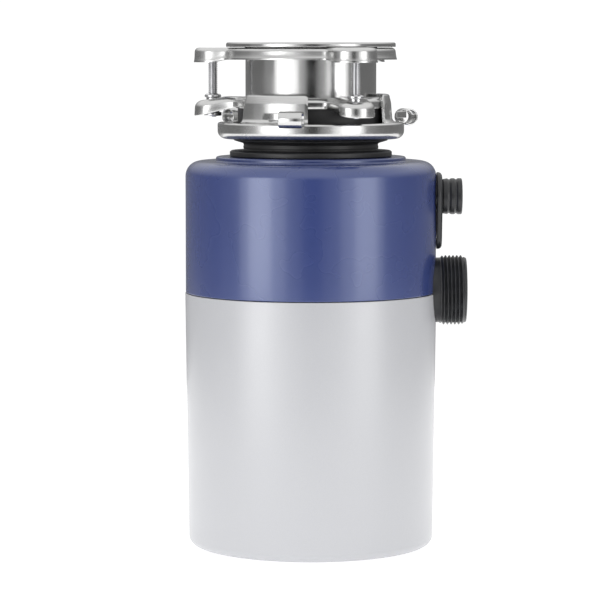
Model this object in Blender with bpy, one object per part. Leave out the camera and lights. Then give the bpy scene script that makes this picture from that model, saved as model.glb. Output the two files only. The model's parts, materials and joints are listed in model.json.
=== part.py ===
"""Kitchen garbage disposal with its three-screw sink mount, complete inside and out.

The shaft axis is world Z. The flat underside of the lower jacket is z = 0, and the drain
outlet and dishwasher inlet point along +X. Sizes below are in millimetres; body() turns
them into Blender's metres.
"""

import math

import bmesh
import bpy
from mathutils import Matrix, Vector

MM = 0.001
BIG = 36  # sides of the large round parts
MID = 24  # sides of the motor's parts
SMALL = 16  # sides of screws, bores and bushes
GAP = 0.4  # clearance left between neighbouring pieces

# Casing
BODY_R = 84.5  # upper housing
JACKET_TOP_R, JACKET_FOOT_R = 84.9, 82.8
JACKET_CORNER = 6.0
SEAM_Z = 171.4  # where the two shells meet
HOUSING_TOP_Z = 260.0
HOUSING_RING_R, HOUSING_RING_Z = 64.0, 263.0  # raised ring round the neck
SHOULDER_R = 10.0
SHELL = 2.0
JACKET_SHELL = 1.6

# Outlets
OUTLET_Z, OUTLET_R, OUTLET_BORE_R, OUTLET_END_X = 172.6, 23.5, 18.5, 104.9
INLET_Z, INLET_R, INLET_BORE_R, INLET_END_X = 236.0, 12.2, 8.0, 101.9

# Grinding chamber
CHAMBER_R, CHAMBER_BORE_R = 74.0, 71.0
CHAMBER_Z = 146.0
NECK_R, NECK_BORE_R = 40.5, 39.0
NECK_TOP_Z = 285.3
TABLE_Z, TABLE_R = 199.0, 65.0
PIVOT_R = 38.0  # impeller pivots, either side of the shaft

# Motor
SHAFT_R = 6.0
STATOR_Z0, STATOR_Z1 = 66.0, 118.0
ROTOR_R, STATOR_BORE_R, STATOR_R = 34.5, 35.6, 66.0
BOLT_CIRCLE = 72.0
UPPER_BELL_Z, LOWER_BELL_Z = 140.0, 38.0

# Sink mount
THROAT_R = 44.0  # outside of the throat tube
FLANGE_R, FLANGE_TOP_Z = 57.0, 339.4
BACKUP_TOP_Z, BACKUP_SKIRT_Z, BACKUP_R = 335.9, 326.9, 57.0
BACKUP_REACH, BACKUP_HALF = 63.2, 15.1  # centre and radius of the backup flange's lobes
LOBE_REACH, LOBE_HALF = 66.2, 12.1  # screw circle radius, and half the width of a lobe
SCREW_R = 3.1
RING_PLATE_Z, RING_R = 300.8, 51.5
LOCK_Z, LOCK_R = 275.0, 62.8
HOOK_R, HOOK_TOP_Z = 55.0, 304.9
EARS = (176.0, 296.0, 56.0)  # azimuths of the lobes, ears and screws
HOOKS = (241.0, 1.0, 121.0)  # middles of the lock ring's hooks
LUGS = (259.0, 19.0, 139.0)  # middles of its rolled lugs


# ---------------------------------------------------------------- helpers


def material(name, colour, metallic, roughness):
    made = bpy.data.materials.new(name)
    made.use_nodes = True
    shader = made.node_tree.nodes["Principled BSDF"]
    shader.inputs["Base Color"].default_value = (*colour, 1.0)
    shader.inputs["Metallic"].default_value = metallic
    shader.inputs["Roughness"].default_value = roughness
    made.diffuse_color = (*colour, 1.0)
    return made


def finish(kind, name):
    """A material of its own for the named piece, of one of the kinds used here."""
    kinds = {
        "polished": ((0.80, 0.80, 0.81), 1.0, 0.16),
        "steel": ((0.62, 0.62, 0.63), 1.0, 0.35),
        "zinc": ((0.66, 0.67, 0.68), 1.0, 0.30),
        "cast": ((0.50, 0.51, 0.53), 1.0, 0.55),
        "blue": ((0.085, 0.115, 0.300), 0.0, 0.18),
        "grey": ((0.66, 0.68, 0.70), 0.0, 0.38),
        "black": ((0.020, 0.020, 0.023), 0.0, 0.45),
        "rubber": ((0.016, 0.016, 0.017), 0.0, 0.62),
        "foam": ((0.10, 0.10, 0.11), 0.0, 0.95),
        "fibre": ((0.20, 0.13, 0.08), 0.0, 0.85),
        "copper": ((0.62, 0.27, 0.12), 1.0, 0.38),
        "bronze": ((0.58, 0.38, 0.17), 1.0, 0.40),
        "iron": ((0.30, 0.31, 0.33), 1.0, 0.50),
        "red": ((0.55, 0.02, 0.02), 0.0, 0.35),
    }
    return material(name, *kinds[kind])


def body(name, rings, kind, closed=True, pivot=(0.0, 0.0, 0.0)):
    """A solid from rings of points in millimetres, each ring joined to the next.

    closed joins the last ring to the first; otherwise both end rings are capped.
    pivot becomes the object's origin.
    """
    work = bmesh.new()
    loops = [[work.verts.new(Vector(p) - Vector(pivot)) for p in ring] for ring in rings]
    count = len(loops[0])
    pairs = list(zip(loops, loops[1:])) + ([(loops[-1], loops[0])] if closed else [])
    for low, high in pairs:
        for i in range(count):
            j = (i + 1) % count
            work.faces.new((low[i], low[j], high[j], high[i]))
    if not closed:
        work.faces.new(loops[0][::-1])
        work.faces.new(loops[-1])
    bmesh.ops.recalc_face_normals(work, faces=work.faces)
    bmesh.ops.scale(work, vec=(MM, MM, MM), verts=work.verts)
    mesh = bpy.data.meshes.new(name)
    work.to_mesh(mesh)
    work.free()
    mesh.shade_smooth()
    mesh.set_sharp_from_angle(angle=math.radians(32))
    made = bpy.data.objects.new(name, mesh)
    made.location = Vector(pivot) * MM
    mesh.materials.append(finish(kind, name))
    bpy.context.scene.collection.objects.link(made)
    return made


def turned(name, profile, kind, sides=BIG, closed=True, axis="Z", centre=(0.0, 0.0, 0.0), **more):
    """A turned solid. profile lists (radius, distance along the axis)."""
    rings = []
    for radius, along in profile:
        ring = []
        for i in range(sides):
            turn = 2 * math.pi * (i + 0.5) / sides
            c, s = radius * math.cos(turn), radius * math.sin(turn)
            point = {"Z": (c, s, along), "X": (along, c, s), "Y": (s, along, c)}[axis]
            ring.append(Vector(point) + Vector(centre))
        rings.append(ring)
    return body(name, rings, kind, closed, **more)


def tube(name, r_in, r_out, z0, z1, kind, sides=BIG, **more):
    return turned(name, [(r_in, z0), (r_out, z0), (r_out, z1), (r_in, z1)], kind, sides, **more)


def rod(name, radius, z0, z1, kind, sides=SMALL, **more):
    return turned(name, [(radius, z0), (radius, z1)], kind, sides, closed=False, **more)


def block(name, low, high, kind):
    corners = [(low[0], low[1]), (high[0], low[1]), (high[0], high[1]), (low[0], high[1])]
    return body(name, [[(x, y, z) for x, y in corners] for z in (low[2], high[2])], kind, False)


def arc(centre, radius, first, last, steps):
    """Points (radius, z) on a circle in the profile plane, between two angles in degrees."""
    angles = [math.radians(first + (last - first) * i / steps) for i in range(steps + 1)]
    return [(centre[0] + radius * math.cos(a), centre[1] + radius * math.sin(a)) for a in angles]


def polar(radius, azimuth, z=0.0):
    turn = math.radians(azimuth)
    return (radius * math.cos(turn), radius * math.sin(turn), z)


def shape(target, tool, operation="DIFFERENCE"):
    """Cuts the tool from the target, or adds it. The tool stays in the file as a hidden helper."""
    tool.name = "helper_" + tool.name
    tool.hide_render = True
    tool.display_type = "WIRE"
    change = target.modifiers.new(tool.name, "BOOLEAN")
    change.operation = operation
    change.solver = "EXACT"
    change.object = tool
    return target


def turn_about_z(obj, azimuth):
    obj.data.transform(Matrix.Rotation(math.radians(azimuth), 4, "Z"))
    return obj


# ------------------------------------------------------- lobed mount plates

LOBE_STEPS = (-60, -42, -27, -19, -15.5, -13.2, -11.6, -10.4, -8.6, -5.5, 0)
LOBE_STEPS += tuple(-a for a in LOBE_STEPS[1:-1][::-1])


def lobed(turn, base, half, sharp, reach):
    """Radius, at an angle from a lobe's middle, of a disc with three round-ended lobes."""
    turn = abs(math.radians(turn))
    if turn < math.atan2(half, reach):
        lobe = reach * math.cos(turn)
        lobe += math.sqrt(half**2 - (reach * math.sin(turn)) ** 2)
    else:
        lobe = half / math.sin(turn)
    return (base**sharp + lobe**sharp) ** (1 / sharp)


def lobed_ring(base, half, height, sharp=15, reach=LOBE_REACH):
    """One ring of a lobed plate. height gives z from the radius."""
    ring = []
    for ear in (EARS[0], EARS[1], EARS[2] + 360):
        for step in LOBE_STEPS:
            radius = lobed(step, base, half, sharp, reach)
            ring.append(polar(radius, ear + step, height(radius)))
    return ring


def hole_ring(radius, z):
    return [
        polar(radius, ear + step, z)
        for ear in (EARS[0], EARS[1], EARS[2] + 360)
        for step in LOBE_STEPS
    ]


def lobed_plate(name, rim, hole_r, z0, z1, under, kind):
    """A plate with a hole and a turned-down skirt. rim and under list (inset, z rule)."""
    rings = [hole_ring(hole_r, z0), hole_ring(hole_r, z1)]
    rings += [lobed_ring(*ring) for ring in rim + under]
    return body(name, rings, kind)


# ------------------------------------------------------------- sink mount


def build_sink_mount():
    turned(
        "sink_flange",
        [
            (THROAT_R - 1.5, 292.0),
            (THROAT_R, 292.0),
            (THROAT_R, 297.8),
            (THROAT_R - 0.8, 298.4),  # groove for the snap ring
            (THROAT_R - 0.8, 300.2),
            (THROAT_R, 300.8),
            (THROAT_R, 335.6),
            (45.0, 337.4),
            (46.8, 338.2),
            (FLANGE_R - 1.3, 338.2),
            (FLANGE_R - 1.1, FLANGE_TOP_Z - 3.0),
            (FLANGE_R, FLANGE_TOP_Z - 3.0),
            (FLANGE_R, FLANGE_TOP_Z - 0.9),
            (FLANGE_R - 0.9, FLANGE_TOP_Z),
            (47.0, FLANGE_TOP_Z - 0.1),
            (43.8, 338.0),
            (THROAT_R - 1.5, 334.5),
        ],
        "polished",
    )
    tube("flange_gasket", 47.4, FLANGE_R - 2.0, BACKUP_TOP_Z + 0.3, 337.9, "rubber")

    def level(z):
        return lambda radius: z

    lobed_plate(
        "backup_flange",
        [
            (BACKUP_R - 2.8, BACKUP_HALF - 2.8, level(BACKUP_TOP_Z), 13, BACKUP_REACH),
            (BACKUP_R - 0.8, BACKUP_HALF - 0.8, level(BACKUP_TOP_Z - 0.8), 13, BACKUP_REACH),
            (BACKUP_R, BACKUP_HALF, level(BACKUP_TOP_Z - 2.8), 13, BACKUP_REACH),
            (BACKUP_R + 1.0, BACKUP_HALF + 0.6, level(BACKUP_SKIRT_Z), 13, BACKUP_REACH),
        ],
        THROAT_R + 1.0,
        BACKUP_TOP_Z - 2.0,
        BACKUP_TOP_Z,
        [
            (BACKUP_R - 0.8, BACKUP_HALF - 1.2, level(BACKUP_SKIRT_Z), 13, BACKUP_REACH),
            (BACKUP_R - 1.9, BACKUP_HALF - 1.9, level(BACKUP_TOP_Z - 2.8), 13, BACKUP_REACH),
            (BACKUP_R - 2.9, BACKUP_HALF - 2.9, level(BACKUP_TOP_Z - 2.0), 13, BACKUP_REACH),
        ],
        "polished",
    )

    # The ears droop towards their tips, and their skirts deepen.
    def bend(radius):
        return 0.5 * ease(radius, 52.5, 56) - 3.3 * ease(radius, 55, 78)

    def top(drop):
        return lambda radius: RING_PLATE_Z + 2.2 + bend(radius) - drop * (0.75 + 0.25 * ease(radius, 50, 60))

    def foot(radius):
        return 295.8 - 5.6 * ease(radius, 53, 77)

    def under(radius):
        return RING_PLATE_Z + bend(radius)

    ring = lobed_plate(
        "mounting_ring",
        [
            (RING_R - 4.6, LOBE_HALF - 4.8, top(0.0), 20),
            (RING_R - 2.0, LOBE_HALF - 2.2, top(0.9), 20),
            (RING_R - 0.4, LOBE_HALF - 0.5, top(2.6), 20),
            (RING_R, LOBE_HALF, top(4.4), 20),
            (RING_R, LOBE_HALF + 0.3, foot, 20),
        ],
        THROAT_R + 0.7,
        RING_PLATE_Z,
        RING_PLATE_Z + 2.2,
        [
            (RING_R - 1.2, LOBE_HALF - 1.4, foot, 20),
            (RING_R - 1.8, LOBE_HALF - 2.4, under, 20),
        ],
        "polished",
    )

    for number, azimuth in enumerate(EARS, 1):
        x, y, _ = polar(LOBE_REACH, azimuth)
        shape(ring, rod(f"ear_hole_{number}", 4.9, 285, 306, "steel", centre=(x, y, 0)))
        insert = [(3.5, 290.1), (5.9, 290.1), (5.9, 292.6), (4.4, 292.8), (4.4, 305.0), (3.5, 305.0)]
        turned(f"threaded_insert_{number}", insert, "zinc", SMALL, centre=(x, y, 0))
        at, pivot = (x, y, 0), (x, y, 312)
        screw = rod(f"mounting_screw_{number}", SCREW_R, 289.5, 333.6, "zinc", 12, centre=at, pivot=pivot)
        slot = block(f"slot_{number}", (x - 4, y - 0.5, 288.5), (x + 4, y + 0.5, 291.0), "zinc")
        shape(screw, slot)

    wire, rings = 1.1, []
    for i in range(33):
        azimuth = 100 + 340 * i / 32
        section = [(wire * math.cos(math.pi * k / 3), wire * math.sin(math.pi * k / 3)) for k in range(6)]
        rings.append([polar(THROAT_R + 0.75 + dr, azimuth, 299.3 + dz) for dr, dz in section])
    body("snap_ring", rings, "steel", closed=False)


def ease(value, low, high):
    """0 below low and 1 above high, with a straight rise between."""
    return min(max((value - low) / (high - low), 0.0), 1.0)


def sector(name, r_in, r_out, z0, z1, azimuth, width, steps=3, kind="polished"):
    """A curved block over part of a circle."""
    rings = []
    for i in range(steps + 1):
        a = azimuth - width / 2 + width * i / steps
        rings.append([polar(r_in, a, z0), polar(r_out, a, z0), polar(r_out, a, z1), polar(r_in, a, z1)])
    return body(name, rings, kind, closed=False)


def build_lock_ring():
    rim = [
        (THROAT_R, LOCK_Z),
        (56.8, LOCK_Z),
        *arc((LOCK_R - 6.0, LOCK_Z + 6.0), 6.0, -75, 0, 4),
        (LOCK_R, LOCK_Z + 9.8),
        (LOCK_R - 1.2, LOCK_Z + 11.0),
        (HOOK_R - 2.0, LOCK_Z + 11.0),
        (HOOK_R - 2.0, LOCK_Z + 9.0),
        (LOCK_R - 2.0, LOCK_Z + 9.0),
        (LOCK_R - 2.0, LOCK_Z + 6.0),
        (LOCK_R - 6.0, LOCK_Z + 2.0),
        (THROAT_R, LOCK_Z + 2.0),
    ]
    ring = turned("lock_ring", rim, "polished")
    for number, azimuth in enumerate(HOOKS, 1):
        # The wall is lower at both ends and turns inward at the top.
        wall, foot, inner = [], LOCK_Z + 9.9, HOOK_R - 2.0
        heights = ((-25.4, 0.8), (-23.6, 1), (-12, 1), (0, 1), (12, 1), (25.5, 1), (26.5, 0.9))
        for turn, height in heights:
            top = foot + (HOOK_TOP_Z - foot) * height
            section = [
                (inner, foot),
                (HOOK_R, foot),
                (HOOK_R, top - 1.6),
                (HOOK_R - 0.6, top - 0.4),
                (HOOK_R - 1.6, top),
                (inner - 0.9, top),
                (inner - 0.9, top - 1.4),
                (inner, top - 1.5),
            ]
            wall.append([polar(radius, azimuth + turn, z) for radius, z in section])
        shape(ring, body(f"hook_{number}", wall, "polished", closed=False), "UNION")
        tongue = sector(f"tongue_{number}", 48.0, 52.6, HOOK_TOP_Z - 1.5, HOOK_TOP_Z - 0.1, azimuth, 16)
        shape(ring, tongue, "UNION")

    for number, azimuth in enumerate(LUGS, 1):
        # A rolled tube lying along the rim, with a strap back to the hook.
        middle = (LOCK_R + 0.3 + 5.6, 0.0, 289.05)
        rolled = [(4.6, -7.8), (5.6, -7.8), (5.6, 7.8), (4.6, 7.8)]
        lug = turned(f"lock_lug_{number}", rolled, "polished", SMALL, axis="Y", centre=middle)
        strap = block(f"strap_{number}", (-0.7, -16.4, -2.2), (0.7, 0.0, 2.2), "polished")
        strap.data.transform(Matrix.Rotation(math.radians(-40), 4, "Z"))
        strap.data.transform(Matrix.Translation(Vector((63.7, -6.9, 291.2)) * MM))
        turn_about_z(lug, azimuth)
        turn_about_z(strap, azimuth)
        shape(lug, strap, "UNION")


def build_rubber():
    turned(
        "rubber_mount",
        [
            (41.2, HOUSING_RING_Z + GAP),
            (54.6, HOUSING_RING_Z + GAP),
            (54.6, HOUSING_RING_Z + 3.2),
            (53.8, 267.0),
            (45.0, 267.2),
            (46.4, 269.4),
            (45.0, 271.8),
            (54.0, LOCK_Z - 0.5),
            (THROAT_R - 0.6, LOCK_Z - 0.4),
            (THROAT_R - 0.6, LOCK_Z + 2.4),
            (48.2, LOCK_Z + 2.6),
            (49.2, LOCK_Z + 4.5),
            (49.2, 299.5),
            (48.4, 300.3),
            (46.6, 300.3),
            (46.6, 283.1),
            (41.2, 283.1),
        ],
        "rubber",
    )
    baffle = turned(
        "splash_baffle",
        [(12.0, 285.7), (45.8, 285.7), (45.8, 291.4), (43.6, 291.4), (43.2, 288.0), (12.0, 288.0)],
        "rubber",
    )
    for number in range(4):
        slit = block(f"slit_{number}", (-36, -0.6, 284.0), (36, 0.6, 289.5), "rubber")
        shape(baffle, turn_about_z(slit, 22.5 + 45 * number))


# ----------------------------------------------------------------- casing


def build_casing():
    inner = BODY_R - SHELL
    housing = turned(
        "upper_housing",
        [
            (inner, SEAM_Z + 0.2),
            (BODY_R, SEAM_Z + 0.2),
            *arc((BODY_R - SHOULDER_R, HOUSING_TOP_Z - SHOULDER_R), SHOULDER_R, 0, 90, 5),
            (HOUSING_RING_R, HOUSING_TOP_Z),
            (HOUSING_RING_R, HOUSING_RING_Z - 1.2),
            (HOUSING_RING_R - 1.2, HOUSING_RING_Z),
            (42.0, HOUSING_RING_Z),
            (42.0, HOUSING_RING_Z - SHELL),
            (HOUSING_RING_R - SHELL, HOUSING_RING_Z - SHELL),
            (HOUSING_RING_R - SHELL, HOUSING_TOP_Z - SHELL),
            *arc((BODY_R - SHOULDER_R, HOUSING_TOP_Z - SHOULDER_R), SHOULDER_R - SHELL, 90, 0, 4),
        ],
        "blue",
    )
    corner = JACKET_CORNER
    jacket = turned(
        "lower_jacket",
        [
            (JACKET_FOOT_R - corner, JACKET_SHELL),
            (JACKET_FOOT_R - 3.2, 3.4),
            (JACKET_FOOT_R - JACKET_SHELL, corner + 1),
            (JACKET_TOP_R - JACKET_SHELL, SEAM_Z - 0.2),
            (JACKET_TOP_R, SEAM_Z - 0.2),
            *arc((JACKET_FOOT_R - corner, corner), corner, 0, -90, 3),
        ],
        "grey",
        closed=False,
    )
    foam = tube("sound_insulation", CHAMBER_R + 1.0, 81.5, 156.0, 246.0, "foam")

    outlet_at, inlet_at = (0.0, 0.0, OUTLET_Z), (0.0, 0.0, INLET_Z)
    for target, radius in ((housing, 22.7), (jacket, 22.7), (foam, 25.0)):
        hole = rod(f"outlet_hole_{target.name}", radius, 60, 100, "steel", MID, axis="X", centre=outlet_at)
        shape(target, hole)
    for target, radius in ((housing, 10.0), (foam, 11.5)):
        hole = rod(f"inlet_hole_{target.name}", radius, 60, 100, "steel", SMALL, axis="X", centre=inlet_at)
        shape(target, hole)
    screw_at = (0.0, 0.0, 208.6)
    shape(housing, rod("plate_screw_hole", 2.1, 75, 95, "steel", 12, axis="X", centre=screw_at))

    # Service openings in the floor: reset button, terminal cover and power cord.
    shape(jacket, rod("button_hole", 5.7, -3, 3, "steel", centre=(0, -49, 0)))
    shape(jacket, block("cover_hole", (-23.4, 29.6, -3), (23.4, 60.4, 3), "steel"))
    shape(jacket, rod("cord_hole", 8.9, -3, 3, "steel", centre=(42, 40, 0)))

    cover = block("terminal_cover", (-23, 30, 0.4), (23, 60, 3.4), "black")
    for number, x in enumerate((-18.0, 18.0), 1):
        bore = [(1.9, -1), (1.9, 6)]
        sink = [(3.6, -1), (3.6, 1.9)]
        shape(cover, turned(f"cover_bore_{number}", bore, "black", 12, False, centre=(x, 45, 0)))
        shape(cover, turned(f"cover_sink_{number}", sink, "black", 12, False, centre=(x, 45, 0)))
        screw = [(3.1, 0.5), (3.1, 1.6), (1.5, 1.7), (1.5, 11.0)]
        turned(f"cover_screw_{number}", screw, "zinc", 12, False, centre=(x, 45, 0))
    bushing = [(5.5, 0.3), (8.4, 0.3), (8.4, 2.1), (10.2, 2.1), (10.2, 4.2), (8.0, 4.2), (8.0, 8.0), (5.5, 8.0)]
    turned("cord_bushing", bushing, "black", SMALL, centre=(42, 40, 0))


def build_outlets():
    outlet_at, inlet_at = (0.0, 0.0, OUTLET_Z), (0.0, 0.0, INLET_Z)
    turned(
        "discharge_outlet",
        [
            (OUTLET_BORE_R, 70.6),
            (20.4, 70.6),
            (20.4, 79.6),
            (22.0, 79.6),
            (22.0, 88.4),
            (OUTLET_R, 89.4),
            (OUTLET_R, OUTLET_END_X - 0.8),
            (OUTLET_R - 0.9, OUTLET_END_X),
            (OUTLET_BORE_R, OUTLET_END_X),
        ],
        "black",
        MID,
        axis="X",
        centre=outlet_at,
    )
    tube("outlet_gasket", 20.9, 22.4, 77.3, 79.2, "rubber", MID, axis="X", centre=outlet_at)
    turned(
        "dishwasher_inlet",
        [
            (INLET_BORE_R, 70.6),
            (9.5, 70.6),
            (9.5, 88.8),
            (INLET_R - 0.4, 88.8),
            (INLET_R, 91.8),
            (INLET_R - 0.9, 93.2),
            (INLET_R, 94.6),
            (INLET_R, 96.6),
            (INLET_R - 0.9, 97.8),
            (INLET_R, 99.0),
            (INLET_R - 0.1, INLET_END_X - 0.8),
            (INLET_R - 1.0, INLET_END_X),
            (INLET_BORE_R, INLET_END_X),
        ],
        "black",
        SMALL,
        axis="X",
        centre=inlet_at,
    )
    # Pear-shaped plate that clamps the inlet to the housing, bevelled outside.
    upper, lower = (INLET_Z, 16.3), (209.5, 9.2)

    def outline(x, inset):
        ring = []
        for (z, radius), first in ((lower, 180), (upper, 0)):
            for i in range(9):
                turn = math.radians(first + 180 * i / 8)
                ring.append((x, (radius - inset) * math.cos(turn), z + (radius - inset) * math.sin(turn)))
        return ring

    plate = body(
        "inlet_plate",
        [outline(84.9, 0), outline(85.7, 0), outline(88.4, 2.6)],
        "black",
        closed=False,
    )
    shape(plate, rod("inlet_seat", 9.9, 80, 95, "black", SMALL, axis="X", centre=inlet_at))
    screw_at = (0.0, 0.0, 208.6)
    shape(plate, rod("plate_bore", 2.1, 80, 95, "black", 12, axis="X", centre=screw_at))
    shape(plate, rod("plate_sink", 3.9, 86.4, 95, "black", 12, axis="X", centre=screw_at))
    screw = [(1.7, 81.9), (1.7, 86.7), (3.4, 86.8), (3.4, 88.2)]
    turned("inlet_screw", screw, "zinc", 12, False, axis="X", centre=screw_at)


# --------------------------------------------------------- grinding chamber


def build_chamber():
    chamber = turned(
        "grind_chamber",
        [
            (CHAMBER_BORE_R, CHAMBER_Z),
            (78.0, CHAMBER_Z),
            (78.0, CHAMBER_Z + 4.0),
            (CHAMBER_R, CHAMBER_Z + 4.0),
            (CHAMBER_R, 249.5),
            (72.0, 254.8),
            (67.0, 257.2),
            (NECK_R, 257.2),
            (NECK_R, 283.6),
            (46.0, 283.6),
            (46.0, NECK_TOP_Z),
            (NECK_BORE_R, NECK_TOP_Z),
            (NECK_BORE_R, 254.6),
            (65.5, 254.4),
            (69.4, 252.6),
            (CHAMBER_BORE_R, 248.5),
        ],
        "cast",
    )
    outlet_at, inlet_at = (0.0, 0.0, OUTLET_Z), (0.0, 0.0, INLET_Z)
    shape(chamber, rod("outlet_boss", 24.0, 66, 77, "cast", MID, axis="X", centre=outlet_at), "UNION")
    # The boss fills the chamber's bore, so the bore is cut again, above the end bell.
    shape(chamber, rod("bore_again", CHAMBER_BORE_R, 140, 230, "cast", BIG))
    shape(chamber, rod("outlet_bore", 20.9, 58, 80, "cast", MID, axis="X", centre=outlet_at))
    shape(chamber, rod("inlet_bore", 9.9, 58, 80, "cast", SMALL, axis="X", centre=inlet_at))
    tube("chamber_gasket", 71.4, 77.6, UPPER_BELL_Z + 4.3, CHAMBER_Z - 0.3, "rubber")

    # Stationary ring with cutting teeth round the turntable.
    rings, teeth = [], 32
    for outer, z in ((False, 196.0), (True, 196.0), (True, 214.0), (False, 214.0)):
        ring = []
        for i in range(2 * teeth):
            radius = 70.2 if outer else (66.0 if i % 2 else 68.0)
            ring.append(polar(radius, 360 * i / (2 * teeth), z))
        rings.append(ring)
    body("shredder_ring", rings, "steel")

    table = turned(
        "turntable",
        [
            (SHAFT_R + 0.3, 190.0),
            (14.0, 190.0),
            (14.0, 196.0),
            (20.0, TABLE_Z),
            (TABLE_R, TABLE_Z),
            (TABLE_R, TABLE_Z + 2.5),
            (SHAFT_R + 0.3, TABLE_Z + 2.5),
        ],
        "steel",
    )
    nut = rod("hub_nut", 9.4, 201.9, 207.6, "zinc", 6)
    shape(nut, rod("nut_bore", SHAFT_R + 0.3, 195, 212, "zinc", MID))
    for number, side in enumerate((1, -1), 1):
        x = side * PIVOT_R
        shape(table, rod(f"rivet_hole_{number}", 4.4, 190, 206, "steel", 12, centre=(x, 0, 0)))
        rivet = [(6.0, 196.8), (6.0, 198.6), (4.0, 198.6), (4.0, 208.7), (7.0, 208.7), (6.2, 210.4)]
        turned(f"impeller_rivet_{number}", rivet, "steel", 12, False, centre=(x, 0, 0))
        ring = []
        for centre, radius, first in ((0.0, 11.0, 90), (18.0, 8.0, -90)):
            for i in range(7):
                turn = math.radians(first + 180 * i / 6)
                ring.append((radius * math.cos(turn), centre + radius * math.sin(turn)))
        # The nose points along +Y on one side of the shaft and -Y on the other.
        outline = [(x - side * c, side * d) for c, d in ring]
        lug = body(
            f"impeller_{number}",
            [[(px, py, z) for px, py in outline] for z in (201.9, 208.3)],
            "steel",
            closed=False,
            pivot=(x, 0, 205),
        )
        shape(lug, rod(f"pivot_hole_{number}", 4.6, 198, 212, "steel", 12, centre=(x, 0, 0)))


# ------------------------------------------------------------------ motor


def build_motor():
    rod("drive_shaft", SHAFT_R, 10.0, 206.4, "steel", SMALL)
    tube("rotor_core", SHAFT_R + 0.3, ROTOR_R, STATOR_Z0, STATOR_Z1, "iron", MID)
    tube("rotor_end_ring_upper", 20.0, ROTOR_R - 0.8, STATOR_Z1 + GAP, 124.0, "cast", MID)
    tube("rotor_end_ring_lower", 20.0, ROTOR_R - 0.8, 60.0, STATOR_Z0 - GAP, "cast", MID)
    tube("stator_core", STATOR_BORE_R, STATOR_R, STATOR_Z0, STATOR_Z1, "iron", MID)
    for name, base, way in (("winding_upper", STATOR_Z1 + GAP, 1), ("winding_lower", STATOR_Z0 - GAP, -1)):
        coil = [(40, 0), (60, 0), (62.5, 6), (59, 13), (43, 13), (38.5, 6)]
        turned(name, [(radius, base + way * rise) for radius, rise in coil], "copper", MID)

    top = UPPER_BELL_Z
    bell_hub = SHAFT_R + 4.4
    web = [(16, top - 16), (16, top - 4), (24, top), (80, top), (80, top + 4)]
    upper = turned("upper_end_bell", [(bell_hub, top - 16), *web, (bell_hub, top + 4)], "cast")
    foot = LOWER_BELL_Z
    web = [(16, foot - 8), (18, foot), (78, foot), (78, foot + 5), (24, foot + 5), (16, foot + 9), (16, foot + 16)]
    lower = turned("lower_end_bell", [(bell_hub, foot - 8), *web, (bell_hub, foot + 16)], "cast")
    for number, azimuth in enumerate((45, 135, 225, 315), 1):
        x, y, _ = polar(BOLT_CIRCLE, azimuth)
        for bell in (upper, lower):
            z = UPPER_BELL_Z if bell is upper else LOWER_BELL_Z
            shape(bell, rod(f"bolt_hole_{number}_{bell.name}", 2.9, z - 3, z + 8, "cast", 12, centre=(x, y, 0)))
        bolt = [(4.3, foot - 3.6), (4.3, foot - GAP), (2.4, foot - 0.3), (2.4, top + 3.4)]
        turned(f"motor_bolt_{number}", bolt, "zinc", 12, False, centre=(x, y, 0))
    for number, x in enumerate((-18.0, 18.0), 1):
        # Pillars that the terminal cover screws into.
        shape(lower, rod(f"pillar_{number}", 4.2, 3.9, foot + 2, "cast", 12, centre=(x, 45, 0)), "UNION")
        shape(lower, rod(f"pillar_bore_{number}", 1.9, 0, 14, "cast", 12, centre=(x, 45, 0)))

    tube("upper_bush", SHAFT_R + 0.2, bell_hub - 0.3, top - 15, top + 2, "bronze", SMALL)
    tube("lower_bush", SHAFT_R + 0.2, bell_hub - 0.3, foot - 7, foot + 14, "bronze", SMALL)
    tube("thrust_washer", SHAFT_R + 0.4, 14.0, foot + 16.4, foot + 18.4, "bronze", SMALL)
    seal = [(SHAFT_R + 0.5, top + 4.3), (14, top + 4.3), (14, top + 9), (9, top + 13), (SHAFT_R + 0.5, top + 13)]
    turned("shaft_seal", seal, "rubber", SMALL)

    # Starting gear, overload protection and its reset button, below the motor.
    spool = [(SHAFT_R + 0.3, 14), (18, 14), (18, 16), (10, 18), (10, 25), (SHAFT_R + 0.3, 25)]
    turned("switch_spool", spool, "black", SMALL)
    block("centrifugal_switch", (20.5, -9, 13), (46, 9, foot - GAP), "fibre")
    rod("start_capacitor", 14.0, -26, 26, "black", MID, axis="Y", centre=(-46, 0, 21))
    protector = block("overload_protector", (-14, -62, 9), (14, -36, foot - GAP), "black")
    shape(protector, rod("stem_hole", 3.3, 5, 14, "black", 12, centre=(0, -49, 0)))
    button = [(4.6, 0.9), (5.0, 1.3), (5.0, 5.0), (2.6, 5.0), (2.6, 9.6)]
    turned("reset_button", button, "red", SMALL, False, centre=(0, -49, 0), pivot=(0, -49, 3))


def main():
    for old in list(bpy.data.objects):
        bpy.data.objects.remove(old, do_unlink=True)
    build_sink_mount()
    build_lock_ring()
    build_rubber()
    build_casing()
    build_outlets()
    build_chamber()
    build_motor()


main()
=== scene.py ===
"""Looks for the kitchen garbage disposal.

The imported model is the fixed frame: every piece made here stands for one CAD node and rides on
that node's body. Sizes are in millimetres in the builders below and become metres in build().
"""

import json
import math

import bmesh
import bpy
from mathutils import Matrix, Vector

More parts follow.
